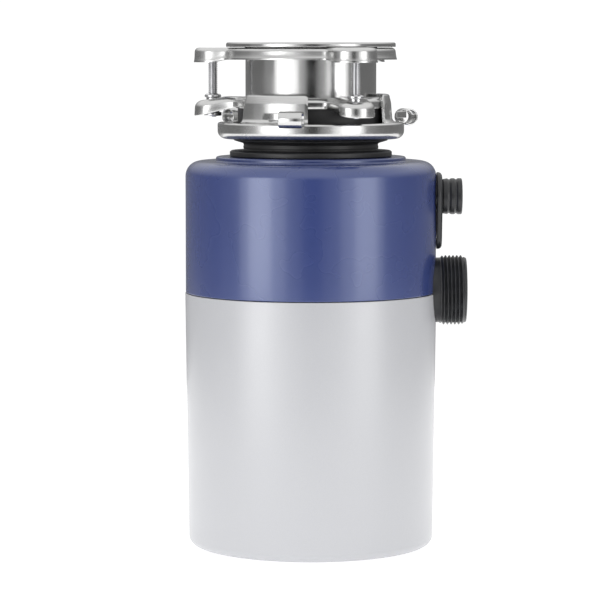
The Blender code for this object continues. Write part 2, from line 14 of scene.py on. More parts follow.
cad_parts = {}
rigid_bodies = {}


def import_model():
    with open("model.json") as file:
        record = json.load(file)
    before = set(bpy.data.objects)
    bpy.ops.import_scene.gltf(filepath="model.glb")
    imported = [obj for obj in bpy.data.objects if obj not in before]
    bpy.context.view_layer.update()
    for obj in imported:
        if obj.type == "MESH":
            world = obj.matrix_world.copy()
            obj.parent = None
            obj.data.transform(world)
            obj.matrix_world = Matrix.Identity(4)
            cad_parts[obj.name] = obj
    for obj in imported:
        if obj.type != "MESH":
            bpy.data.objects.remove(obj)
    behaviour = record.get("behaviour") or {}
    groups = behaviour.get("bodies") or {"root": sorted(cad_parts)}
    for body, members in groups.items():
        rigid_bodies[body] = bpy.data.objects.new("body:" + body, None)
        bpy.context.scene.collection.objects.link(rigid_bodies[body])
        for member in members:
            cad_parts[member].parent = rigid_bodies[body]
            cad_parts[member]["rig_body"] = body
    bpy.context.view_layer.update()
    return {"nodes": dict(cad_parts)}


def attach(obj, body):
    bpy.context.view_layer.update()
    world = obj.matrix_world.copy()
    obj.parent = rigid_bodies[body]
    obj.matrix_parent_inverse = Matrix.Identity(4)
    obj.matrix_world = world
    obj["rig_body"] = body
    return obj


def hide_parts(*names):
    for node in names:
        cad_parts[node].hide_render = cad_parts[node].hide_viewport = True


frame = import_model()

MM = 0.001
ROUND = 144  # sides of the large turned pieces
FINE = 48  # sides of the small ones

# Places taken over from the CAD model
SEAM_Z, TOP_Z, RING_Z = 171.4, 260.0, 263.0
FLANGE_R, FLANGE_TOP_Z, THROAT_R = 57.0, 339.4, 44.0
BACKUP_R, BACKUP_TOP_Z, SKIRT_Z = 57.0, 335.9, 326.9
LOBE_REACH, LOBE_HALF = 66.2, 12.1
BACKUP_REACH, BACKUP_HALF = 63.2, 15.1
PLATE_Z, PLATE_R = 300.8, 51.5
LOCK_Z, LOCK_R, HOOK_R, HOOK_TOP_Z = 275.0, 62.8, 55.0, 304.9
EARS, HOOKS, LUGS = (176.0, 296.0, 56.0), (241.0, 1.0, 121.0), (259.0, 19.0, 139.0)
OUTLET_Z, INLET_Z = 172.6, 236.0
INLET_SCREW_Z = 208.6
COVER_SCREW_X, COVER_Y = 18.0, 45.0
BUTTON_AT, BUSHING_AT = (0, -49, 0), (42, 40, 0)
SCREW_PITCH, OUTLET_PITCH = 1.27, 2.55

# The visual shapes' own choices
BACKUP_SHARP, MOUNTING_SHARP = 13, 10  # how tightly a disc and its lobes meet; higher is tighter
HOOK_FROM, HOOK_SPAN, HOOK_STEPS = -26.8, 53.5, 66  # degrees from a hook's middle
LUG_SEAM, LUG_WRAP = 238, 340  # degrees round a lug, from outward, where its sheet starts and how far it goes
LUG_OUTER, LUG_INNER, LUG_HALF, LUG_STEPS = 5.6, 4.6, 7.8, 48
NOISE_LOW, NOISE_HIGH = 0.3, 0.7  # the part of the noise's range that its values mostly fill


# ---------------------------------------------------------------- materials


def graph(name, metallic, roughness, **sockets):
    """A new material: its node tree, its shader, and the object coordinates in metres."""
    made = bpy.data.materials.new(name)
    made.use_nodes = True
    tree = made.node_tree
    shader = tree.nodes["Principled BSDF"]
    shader.inputs["Metallic"].default_value = metallic
    shader.inputs["Roughness"].default_value = roughness
    for socket, value in sockets.items():
        shader.inputs[socket.replace("_", " ")].default_value = value
    place = tree.nodes.new("ShaderNodeTexCoord")
    return made, tree, shader, place.outputs["Object"]


def noise(tree, place, scale, detail=3.0):
    """Noise whose scale is given per metre along each axis."""
    stretch = tree.nodes.new("ShaderNodeMapping")
    stretch.inputs["Scale"].default_value = scale if hasattr(scale, "__len__") else (scale,) * 3
    tree.links.new(place, stretch.inputs["Vector"])
    made = tree.nodes.new("ShaderNodeTexNoise")
    made.inputs["Scale"].default_value = 1.0
    made.inputs["Detail"].default_value = detail
    made.inputs["Roughness"].default_value = 0.55
    tree.links.new(stretch.outputs["Vector"], made.inputs["Vector"])
    return made.outputs["Fac"]


def spread(tree, value, low, high, first=NOISE_LOW, last=NOISE_HIGH):
    """Maps the values from first to last onto a range of numbers."""
    made = tree.nodes.new("ShaderNodeMapRange")
    made.inputs["From Min"].default_value, made.inputs["From Max"].default_value = first, last
    made.inputs["To Min"].default_value, made.inputs["To Max"].default_value = low, high
    tree.links.new(value, made.inputs["Value"])
    return made.outputs["Result"]


def tint(tree, value, dark, light):
    """Maps the noise onto a range between two colours."""
    made = tree.nodes.new("ShaderNodeValToRGB")
    low, high = made.color_ramp.elements
    low.position, high.position = NOISE_LOW, NOISE_HIGH
    low.color, high.color = (*dark, 1.0), (*light, 1.0)
    tree.links.new(value, made.inputs["Fac"])
    return made.outputs["Color"]


def bump(tree, shader, value, depth):
    """Adds a relief of that depth in metres on top of any relief that the shader has."""
    made = tree.nodes.new("ShaderNodeBump")
    made.inputs["Strength"].default_value = 1.0
    made.inputs["Distance"].default_value = depth
    tree.links.new(value, made.inputs["Height"])
    if shader.inputs["Normal"].links:
        tree.links.new(shader.inputs["Normal"].links[0].from_socket, made.inputs["Normal"])
    tree.links.new(made.outputs["Normal"], shader.inputs["Normal"])


def shades(colour, part):
    """A colour made darker and lighter by that part of itself."""
    return [[c * (1 - part) for c in colour], [min(c * (1 + part), 1.0) for c in colour]]


def metal(name, colour, roughness, grain, wave=0.0, part=0.05, fine=0.000004):
    """Bare metal: directional grain, worn patches of roughness and a slight waviness of the sheet."""
    made, tree, shader, place = graph(name, 1.0, roughness)
    lines = noise(tree, place, grain, 4.0)
    patches = noise(tree, place, 45.0, 4.0)
    sheen = spread(tree, patches, roughness * 0.75, roughness * 1.35)
    tree.links.new(sheen, shader.inputs["Roughness"])
    tree.links.new(tint(tree, lines, *shades(colour, part)), shader.inputs["Base Color"])
    if wave:
        bump(tree, shader, noise(tree, place, 55.0, 1.0), wave)
    bump(tree, shader, lines, fine)
    return made


def enamel():
    """Gloss blue stove enamel over sheet steel, with the faint orange peel of sprayed paint."""
    made, tree, shader, place = graph(
        "gloss_blue_enamel", 0.0, 0.2, Specular_IOR_Level=1.0, Coat_Weight=0.6, Coat_Roughness=0.14)
    shader.inputs["Specular Tint"].default_value = (0.72, 0.80, 1.0, 1.0)
    colour = tint(tree, noise(tree, place, 14.0, 3.0), (0.025, 0.040, 0.150), (0.029, 0.046, 0.165))
    tree.links.new(colour, shader.inputs["Base Color"])
    sheen = spread(tree, noise(tree, place, 30.0, 2.0), 0.26, 0.29)
    tree.links.new(sheen, shader.inputs["Roughness"])
    bump(tree, shader, noise(tree, place, 420.0, 2.0), 0.000012)
    return made


def lacquer():
    """Satin light grey lacquer with a fine metallic grain."""
    made, tree, shader, place = graph(
        "satin_grey_lacquer", 0.0, 0.30, Specular_IOR_Level=1.0, Coat_Weight=0.2, Coat_Roughness=0.22)
    colour = tint(tree, noise(tree, place, 2600.0, 2.0), (0.425, 0.43, 0.45), (0.465, 0.47, 0.49))
    tree.links.new(colour, shader.inputs["Base Color"])
    sheen = spread(tree, noise(tree, place, 30.0, 3.0), 0.28, 0.34)
    tree.links.new(sheen, shader.inputs["Roughness"])
    bump(tree, shader, noise(tree, place, 900.0, 3.0), 0.000012)
    return made


def moulded(name, colour, roughness, grain=1500.0, depth=0.00002, part=0.25, **sockets):
    """Moulded plastic or rubber: a fine surface grain and slightly uneven sheen."""
    made, tree, shader, place = graph(name, 0.0, roughness, **sockets)
    fine = noise(tree, place, grain, 3.0)
    patches = noise(tree, place, 70.0, 4.0)
    tree.links.new(tint(tree, patches, *shades(colour, part)), shader.inputs["Base Color"])
    sheen = spread(tree, patches, roughness * 0.85, roughness * 1.15)
    tree.links.new(sheen, shader.inputs["Roughness"])
    bump(tree, shader, fine, depth)
    return made


LOOKS = {
    "polished": metal("polished_stainless", (0.60, 0.60, 0.595), 0.21, (60, 60, 2400), 0.00004, 0.03,
                      0.0000015),
    "tube": metal("drawn_stainless", (0.56, 0.56, 0.555), 0.18, (40, 40, 5200), 0.00002, 0.04, 0.000003),
    "steel": metal("satin_stainless", (0.62, 0.62, 0.62), 0.32, (300, 300, 1600), 0.0, 0.10),
    "zinc": metal("bright_zinc_plating", (0.66, 0.66, 0.67), 0.20, (700, 700, 700), 0.0, 0.10),
    "cast": metal("die_cast_alloy", (0.50, 0.51, 0.53), 0.5, (500, 500, 500), 0.0, 0.15, 0.00006),
    "bronze": metal("sintered_bronze", (0.58, 0.38, 0.17), 0.42, (2200, 2200, 2200), 0.0, 0.2, 0.00002),
    "iron": metal("laminated_iron", (0.30, 0.31, 0.33), 0.5, (30, 30, 4000), 0.0, 0.3, 0.00012),
    "copper": metal("enamelled_copper_wire", (0.62, 0.27, 0.12), 0.36, (120, 120, 1500), 0.0, 0.35, 0.0002),
    "blue": enamel(),
    "grey": lacquer(),
    "black": moulded("moulded_black_plastic", (0.017, 0.018, 0.020), 0.36),
    "rubber": moulded("black_rubber", (0.020, 0.020, 0.021), 0.42, 900.0, 0.00002),
    "foam": moulded("acoustic_foam", (0.10, 0.10, 0.11), 0.95, 800.0, 0.0008),
    "fibre": moulded("fibre_board", (0.20, 0.13, 0.08), 0.8, 500.0, 0.0001),
    "red": moulded("gloss_red_plastic", (0.55, 0.02, 0.02), 0.3, 1800.0, 0.00001, 0.1),
}

KINDS = {
    "polished": ("sink_flange", "backup_flange", "mounting_ring", "lock_ring", "lock_lug_1", "lock_lug_2",
                 "lock_lug_3"),
    "steel": ("snap_ring", "shredder_ring", "turntable", "impeller_rivet_1", "impeller_rivet_2",
              "impeller_1", "impeller_2", "drive_shaft"),
    "zinc": ("mounting_screw_1", "mounting_screw_2", "mounting_screw_3", "threaded_insert_1",
             "threaded_insert_2", "threaded_insert_3", "inlet_screw", "cover_screw_1", "cover_screw_2",
             "hub_nut", "motor_bolt_1", "motor_bolt_2", "motor_bolt_3", "motor_bolt_4"),
    "cast": ("grind_chamber", "upper_end_bell", "lower_end_bell", "rotor_end_ring_upper",
             "rotor_end_ring_lower"),
    "blue": ("upper_housing",),
    "grey": ("lower_jacket",),
    "black": ("discharge_outlet", "dishwasher_inlet", "inlet_plate", "terminal_cover", "cord_bushing",
              "switch_spool", "start_capacitor", "overload_protector"),
    "rubber": ("rubber_mount", "splash_baffle", "flange_gasket", "chamber_gasket", "outlet_gasket",
               "shaft_seal"),
    "foam": ("sound_insulation",),
    "fibre": ("centrifugal_switch",),
    "copper": ("winding_upper", "winding_lower"),
    "bronze": ("upper_bush", "lower_bush", "thrust_washer"),
    "iron": ("stator_core", "rotor_core"),
    "red": ("reset_button",),
}
KIND = {node: kind for kind, nodes in KINDS.items() for node in nodes}


# ------------------------------------------------------------------ helpers


def build(name, rings, around=True, across=True):
    """An object from rings of points in millimetres.

    around joins the last ring to the first; across joins each ring's last point to its first.
    Rings that aren't joined around get an end cap, if they are closed across.
    """
    work = bmesh.new()
    loops = [[work.verts.new(Vector(p) * MM) for p in ring] for ring in rings]
    count = len(loops[0])
    pairs = list(zip(loops, loops[1:])) + ([(loops[-1], loops[0])] if around else [])
    for low, high in pairs:
        for i in range(count if across else count - 1):
            j = (i + 1) % count
            work.faces.new((low[i], low[j], high[j], high[i]))
    if across and not around:
        work.faces.new(loops[0][::-1])
        work.faces.new(loops[-1])
    bmesh.ops.remove_doubles(work, verts=work.verts, dist=1e-7)
    bmesh.ops.recalc_face_normals(work, faces=work.faces)
    mesh = bpy.data.meshes.new(name)
    work.to_mesh(mesh)
    work.free()
    made = bpy.data.objects.new(name, mesh)
    bpy.context.scene.collection.objects.link(made)
    return made


def rounded(corners, closed=True, steps=5):
    """The (radius, along) points of a profile whose corners are (radius, along, rounding)."""
    points = []
    for i, (x, y, rounding) in enumerate(corners):
        at = Vector((x, y))
        if not rounding or (not closed and i in (0, len(corners) - 1)):
            points.append((x, y))
            continue
        one = Vector(corners[i - 1][:2]) - at
        two = Vector(corners[(i + 1) % len(corners)][:2]) - at
        half = one.angle(two) / 2
        reach = min(rounding / math.tan(half), 0.49 * one.length, 0.49 * two.length)
        one.normalize()
        two.normalize()
        radius = reach * math.tan(half)
        centre = at + (one + two).normalized() * radius / math.sin(half)
        start, end = at + one * reach - centre, at + two * reach - centre
        first = math.atan2(start.y, start.x)
        sweep = (math.atan2(end.y, end.x) - first + math.pi) % (2 * math.pi) - math.pi
        for k in range(steps + 1):
            a = first + sweep * k / steps
            points.append((centre.x + radius * math.cos(a), centre.y + radius * math.sin(a)))
    return points


def spin(profile, sides, axis="Z", centre=(0.0, 0.0, 0.0)):
    """The rings of a turned piece, one profile for each angle. profile lists (radius, along)."""
    rings = []
    for i in range(sides):
        c, s = math.cos(2 * math.pi * i / sides), math.sin(2 * math.pi * i / sides)
        ring = []
        for radius, along in profile:
            x, y = radius * c, radius * s
            point = {"Z": (x, y, along), "X": (along, x, y), "Y": (y, along, x)}[axis]
            ring.append(Vector(point) + Vector(centre))
        rings.append(ring)
    return rings


def turned(name, corners, sides=ROUND, closed=True, steps=5, **where):
    return build(name, spin(rounded(corners, closed, steps), sides, **where), True, closed)


def polar(radius, azimuth, z=0.0):
    turn = math.radians(azimuth)
    return (radius * math.cos(turn), radius * math.sin(turn), z)


def cut(target, tool):
    """Cuts the tool from the target and throws the tool away."""
    change = target.modifiers.new("cut", "BOOLEAN")
    change.operation, change.solver, change.object = "DIFFERENCE", "EXACT", tool
    state = bpy.context.evaluated_depsgraph_get()
    made = bpy.data.meshes.new_from_object(target.evaluated_get(state))
    target.modifiers.clear()
    target.data = made
    bpy.data.objects.remove(tool)


def rod(radius, low, high, sides=FINE, **where):
    corners = [(0, low, 0), (radius, low, 0), (radius, high, 0), (0, high, 0)]
    return turned("tool", corners, sides, False, **where)


def brick(low, high, soften=0.0):
    """A block, softened at its corners seen from above and below."""
    outline = rounded([(low[0], low[1], soften), (high[0], low[1], soften),
                       (high[0], high[1], soften), (low[0], high[1], soften)])
    return build("tool", [[(x, y, z) for x, y in outline] for z in (low[2], high[2])], False)


def join(first, *others):
    """Puts the other objects' meshes into the first one's."""
    work = bmesh.new()
    for obj in (first, *others):
        work.from_mesh(obj.data)
    work.to_mesh(first.data)
    work.free()
    for obj in others:
        bpy.data.objects.remove(obj)
    return first


def moved(obj, matrix):
    obj.data.transform(matrix)
    return obj


def swing(azimuth):
    return Matrix.Rotation(math.radians(azimuth), 4, "Z")


def settle(obj, node, look=None, sharp=38.0):
    """Finishes a piece: it stands for the node, rides on its body and takes its finish."""
    mesh = obj.data
    mesh.materials.clear()
    mesh.materials.append(LOOKS[look or KIND[node]])
    mesh.shade_smooth()
    mesh.set_sharp_from_angle(angle=math.radians(sharp))
    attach(obj, frame["nodes"][node]["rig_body"])
    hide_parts(node)


def ease(value, low, high):
    """0 below low and 1 above high, with a straight rise between."""
    return min(max((value - low) / (high - low), 0.0), 1.0)


def soft(value, low, high):
    """As ease, with soft ends."""
    t = ease(value, low, high)
    return t * t * (3 - 2 * t)


# --------------------------------------------------------------- sink mount

# Degrees from a lobe's middle, finest round the corner where the lobe leaves the disc
LOBE_STEPS = [-60 + 2.0 * i for i in range(20)]
LOBE_STEPS += [-20.5 + 0.5 * i for i in range(30)]
LOBE_STEPS += [-5 + 1.25 * i for i in range(4)]
LOBE_STEPS += [0.0] + [-a for a in LOBE_STEPS[:0:-1]]


def lobed(turn, base, half, sharp, reach):
    """Radius, at an angle from a lobe's middle, of a disc with three round-ended lobes."""
    turn = abs(math.radians(turn))
    if turn < math.atan2(half, reach):
        lobe = reach * math.cos(turn) + math.sqrt(half**2 - (reach * math.sin(turn)) ** 2)
    else:
        lobe = half / math.sin(turn)
    return (base**sharp + lobe**sharp) ** (1 / sharp)


def lobed_ring(base, half, height, sharp=15, reach=LOBE_REACH):
    ring = []
    for ear in EARS:
        for step in LOBE_STEPS:
            radius = lobed(step, base, half, sharp, reach)
            ring.append(polar(radius, ear + step, height(radius)))
    return ring


def lobed_plate(name, hole_r, z0, z1, rim):
    """A plate with a round hole. rim lists what lobed_ring takes, from the top edge outwards."""
    hole = [[polar(r, ear + step, z) for ear in EARS for step in LOBE_STEPS]
            for r, z in ((hole_r, z0), (hole_r, z1 - 0.4), (hole_r + 0.4, z1))]
    return build(name, hole + [lobed_ring(*ring) for ring in rim])


def level(z, lobe=0.0):
    """The same height all round, or with the lobes that much lower."""
    return lambda radius: z - lobe * soft(radius, 58.0, 70.0)


def make_sink_flange():
    flange = turned("sink_flange_looks", [
        (THROAT_R - 1.5, 292.0, 0.3), (THROAT_R, 292.0, 0.5), (THROAT_R, 297.8, 0.2),
        (THROAT_R - 0.8, 298.4, 0.2), (THROAT_R - 0.8, 300.2, 0.2), (THROAT_R, 300.8, 0.2),
        (THROAT_R, 335.6, 2.4), (46.4, 338.2, 1.2), (FLANGE_R - 1.3, 338.2, 0),
        (FLANGE_R - 1.1, FLANGE_TOP_Z - 3.0, 0.2), (FLANGE_R, FLANGE_TOP_Z - 3.0, 0.3),
        (FLANGE_R, FLANGE_TOP_Z, 1.3), (48.2, FLANGE_TOP_Z - 0.1, 3.0), (43.8, 337.6, 3.5),
        (THROAT_R - 1.5, 333.0, 4.0),
    ])
    settle(flange, "sink_flange", "tube")
    gasket = turned("flange_gasket_looks", [
        (47.4, 336.2, 0.3), (FLANGE_R - 2.0, 336.2, 0.6), (FLANGE_R - 2.0, 337.9, 0.6), (47.4, 337.9, 0.3)])
    settle(gasket, "flange_gasket")


def make_backup_flange():
    """The lobed plate that the three screws push up under the sink, with its skirt turned down."""
    rim, roll = [], 2.8
    for k in range(8):
        a = math.radians(90 * k / 7)
        inset = roll * (1 - math.sin(a))
        height = level(BACKUP_TOP_Z - roll * (1 - math.cos(a)))
        rim.append((BACKUP_R - inset, BACKUP_HALF - inset, height, BACKUP_SHARP, BACKUP_REACH))
    for base, half, z in (
        (0.25, 0.15, SKIRT_Z + 3.2), (0.55, 0.35, SKIRT_Z + 1.4), (0.95, 0.58, SKIRT_Z + 0.35),
        (0.85, 0.5, SKIRT_Z), (-0.5, -0.9, SKIRT_Z), (-0.8, -1.2, SKIRT_Z + 0.4),
        (-1.7, -1.8, BACKUP_TOP_Z - 3.0), (-2.1, -2.1, BACKUP_TOP_Z - 2.3), (-2.9, -2.9, BACKUP_TOP_Z - 2.0),
    ):
        height = level(z + 1.0, 1.8) if z < SKIRT_Z + 3.3 else level(z)
        rim.append((BACKUP_R + base, BACKUP_HALF + half, height, BACKUP_SHARP, BACKUP_REACH))
    low, high = BACKUP_TOP_Z - 2.0, BACKUP_TOP_Z
    plate = lobed_plate("backup_flange_looks", THROAT_R + 1.0, low, high, rim)
    settle(plate, "backup_flange", sharp=45)


def make_mounting_ring():
    """The plate whose three ears droop towards their tips and carry the threaded inserts."""

    def bend(r):
        return 0.5 * soft(r, 52.0, 57.0) - 3.3 * soft(r, 53.5, 80.0)

    def top(drop):
        return lambda r: PLATE_Z + 2.2 + bend(r) - drop * (0.75 + 0.25 * ease(r, 50, 60))

    def foot(lift):
        return lambda r: 295.8 - 5.6 * soft(r, 49, 80) + lift

    def under(r):
        return PLATE_Z + bend(r)

    rim = []
    for k in range(13):
        a = math.radians(90 * k / 12)
        inset = 1 - math.sin(a)
        drop = 4.6 * (1 - math.cos(a))
        rim.append((PLATE_R - 4.8 * inset, LOBE_HALF - 5.0 * inset, top(drop), MOUNTING_SHARP))
    for inset, half, height in (
        (0.0, 0.28, foot(0.5)), (0.2, 0.1, foot(0.05)), (0.6, -0.6, foot(0.0)), (1.1, -1.2, foot(0.1)),
        (1.2, -1.4, foot(0.4)), (1.8, -2.4, under),
    ):
        rim.append((PLATE_R - inset, LOBE_HALF + half, height, MOUNTING_SHARP))
    ring = lobed_plate("mounting_ring_looks", THROAT_R + 0.7, PLATE_Z, PLATE_Z + 2.2, rim)
    for azimuth in EARS:
        x, y, _ = polar(LOBE_REACH, azimuth)
        cut(ring, rod(4.9, 285, 306, 36, centre=(x, y, 0)))
    settle(ring, "mounting_ring", sharp=45)


def sector(r_in, r_out, z0, z1, azimuth, width, steps=12):
    """A curved bar over part of a circle, with its edges softened."""
    section = rounded([(r_in, z0, 0.3), (r_out, z0, 0.3), (r_out, z1, 0.3), (r_in, z1, 0.3)], steps=3)
    rings = []
    for i in range(steps + 1):
        a = azimuth - width / 2 + width * i / steps
        rings.append([polar(r, a, z) for r, z in section])
    return build("bar", rings, around=False)


def screw_rows(core, crest, pitch, low, high, sides, rows):
    """(along, radii) rows of a helical thread that fades out at both ends."""
    count = round((high - low) / pitch * rows)
    for k in range(count + 1):
        along = low + (high - low) * k / count
        fade = min(ease(along, low, low + pitch), ease(high - along, 0.0, pitch))
        radii = []
        for i in range(sides):
            t = (along / pitch - i / sides) % 1.0
            flank = min(max(1.3 * (1 - abs(2 * t - 1)) - 0.1, 0.0), 1.0)
            radii.append(core + (crest - core) * flank * fade)
        yield along, radii


def make_screws():
    """Clamping screws with a true 1.27 mm thread and a slot in the foot, and their inserts."""
    sides = 24
    for number, azimuth in enumerate(EARS, 1):
        x, y, _ = polar(LOBE_REACH, azimuth)
        rings = []
        for along, radii in [(289.5, [2.1] * sides), (289.7, [2.3] * sides),
                             *screw_rows(2.45, 3.35, SCREW_PITCH, 290.0, 331.6, sides, 8),
                             (331.8, [2.55] * sides), (333.2, [2.5] * sides), (333.6, [1.6] * sides)]:
            ring = []
            for i, r in enumerate(radii):
                turn = 2 * math.pi * i / sides
                ring.append((x + r * math.cos(turn), y + r * math.sin(turn), along))
            rings.append(ring)
        screw = build(f"mounting_screw_{number}_looks", rings, around=False)
        cut(screw, brick((x - 4, y - 0.5, 288.5), (x + 4, y + 0.5, 291.0)))
        settle(screw, f"mounting_screw_{number}", sharp=18)
        insert = turned(f"threaded_insert_{number}_looks", [
            (3.5, 290.1, 0.4), (5.9, 290.1, 0.8), (5.9, 292.6, 0.5), (4.4, 292.8, 0.3), (4.4, 302.4, 0.1),
            (5.5, 302.8, 0.4), (5.6, 304.2, 0.5), (4.5, 305.0, 0.3), (3.5, 305.0, 0.4),
        ], FINE, centre=(x, y, 0))
        settle(insert, f"threaded_insert_{number}")


def make_lock_ring():
    """Rolled channel that turns to lock, with three hooks rising from a fillet."""
    ring = turned("lock_ring_looks", [
        (THROAT_R, LOCK_Z, 0.3), (LOCK_R, LOCK_Z, 6.2), (LOCK_R, LOCK_Z + 11.0, 1.6),
        (HOOK_R - 2.0, LOCK_Z + 11.0, 0.3), (HOOK_R - 2.0, LOCK_Z + 9.0, 0.3),
        (LOCK_R - 2.0, LOCK_Z + 9.0, 0.8), (LOCK_R - 2.0, LOCK_Z + 2.0, 4.2), (THROAT_R, LOCK_Z + 2.0, 0.3),
    ], steps=10)
    foot = LOCK_Z + 10.8
    hooks = []
    for azimuth in HOOKS:
        rings = []
        for i in range(HOOK_STEPS + 1):
            turn = HOOK_FROM + HOOK_SPAN * i / HOOK_STEPS
            height = 1 - 0.22 * (1 - soft(turn, -27.7, -24.3)) - 0.08 * soft(turn, 25.0, 27.0)
            top, flare = foot + (HOOK_TOP_Z - foot) * height, 6.6
            wall = [(HOOK_R + flare, foot - 0.6, 0), (HOOK_R + flare, foot + 0.1, 0),
                    (HOOK_R, foot + 0.1, 4.8), (HOOK_R - 1.0, top - 5.8, 3.0), (HOOK_R - 2.4, top, 2.6),
                    (HOOK_R - 5.2, top, 0.4), (HOOK_R - 5.2, top - 1.4, 0.3), (HOOK_R - 4.2, top - 1.5, 0.4),
                    (HOOK_R - 2.8, top - 5.8, 1.0), (HOOK_R - 2.0, foot - 0.6, 0)]
            rings.append([polar(r, azimuth + turn, z) for r, z in rounded(wall, steps=6)])
        hooks.append(build("hook", rings, around=False))
        hooks.append(sector(48.0, 51.0, HOOK_TOP_Z - 1.5, HOOK_TOP_Z - 0.1, azimuth, 16))
    settle(join(ring, *hooks), "lock_ring", sharp=45)


def make_lugs():
    """Sockets for the key that turns the ring: a strip of sheet rolled up at its end."""
    turns = [math.radians(LUG_SEAM + LUG_WRAP * k / LUG_STEPS) for k in range(LUG_STEPS + 1)]
    section = [(LUG_OUTER * math.cos(a), LUG_OUTER * math.sin(a)) for a in turns]
    section += [(LUG_INNER * math.cos(a), LUG_INNER * math.sin(a)) for a in reversed(turns)]
    middle = Vector((LOCK_R + 5.9, 0.0, 289.05))
    path = [Vector(p) for p in (
        (64.4, -6.9), (64.2, -9.6), (63.2, -12.8), (61.0, -16.0), (57.6, -19.0), (53.6, -21.4))]
    sheet = rounded([(-0.7, -2.2, 0.3), (0.7, -2.2, 0.3), (0.7, 2.2, 0.3), (-0.7, 2.2, 0.3)], steps=3)
    for number, azimuth in enumerate(LUGS, 1):
        rings = []
        for y, inset in ((-LUG_HALF, 0.25), (0.25 - LUG_HALF, 0.0), (LUG_HALF - 0.25, 0.0), (LUG_HALF, 0.25)):
            ring = []
            for k, (px, pz) in enumerate(section):
                outer = k <= LUG_STEPS
                grow = (LUG_OUTER - inset) / LUG_OUTER if outer else (LUG_INNER + inset) / LUG_INNER
                ring.append(middle + Vector((px * grow, y, pz * grow)))
            rings.append(ring)
        lug = build(f"lock_lug_{number}_looks", rings, around=False)
        strap = []
        for k, at in enumerate(path):
            way = path[min(k + 1, 5)] - path[max(k - 1, 0)]
            across = Vector((-way.y, way.x)).normalized()
            strap.append([(at.x + across.x * a, at.y + across.y * a, 291.0 + h - 0.25 * a) for a, h in sheet])
        lug = join(lug, build("strap", strap, around=False))
        settle(moved(lug, swing(azimuth)), f"lock_lug_{number}", sharp=50)


# ------------------------------------------------------------------- rubber


def make_rubber():
    mount = turned("rubber_mount_looks", [
        (41.2, 263.4, 0.3), (54.6, 263.4, 0.3), (54.6, 266.4, 0.9), (53.4, 267.1, 0.8), (45.0, 267.2, 1.2),
        (45.6, 269.4, 1.6), (45.0, 271.8, 1.6), (54.0, 274.5, 0.4), (43.4, 274.6, 0.2), (43.4, 277.4, 0.2),
        (48.2, 277.6, 0.5), (49.2, 279.5, 1.0), (49.2, 300.3, 1.2), (46.6, 300.3, 0.5), (46.6, 283.1, 0.5),
        (41.2, 283.1, 0.5)])
    settle(mount, "rubber_mount", sharp=50)
    baffle = turned("splash_baffle_looks", [
        (12.0, 285.7, 0.5), (45.8, 285.7, 0.3), (45.8, 291.4, 0.6), (43.6, 291.4, 0.6), (43.2, 288.0, 1.2),
        (30.0, 287.7, 3.0), (12.0, 287.2, 0.6)])
    for number in range(4):
        slit = brick((-36, -0.6, 284.0), (36, 0.6, 289.5), 0.5)
        cut(baffle, moved(slit, swing(22.5 + 45 * number)))
    settle(baffle, "splash_baffle", sharp=50)


# ------------------------------------------------------------------- casing


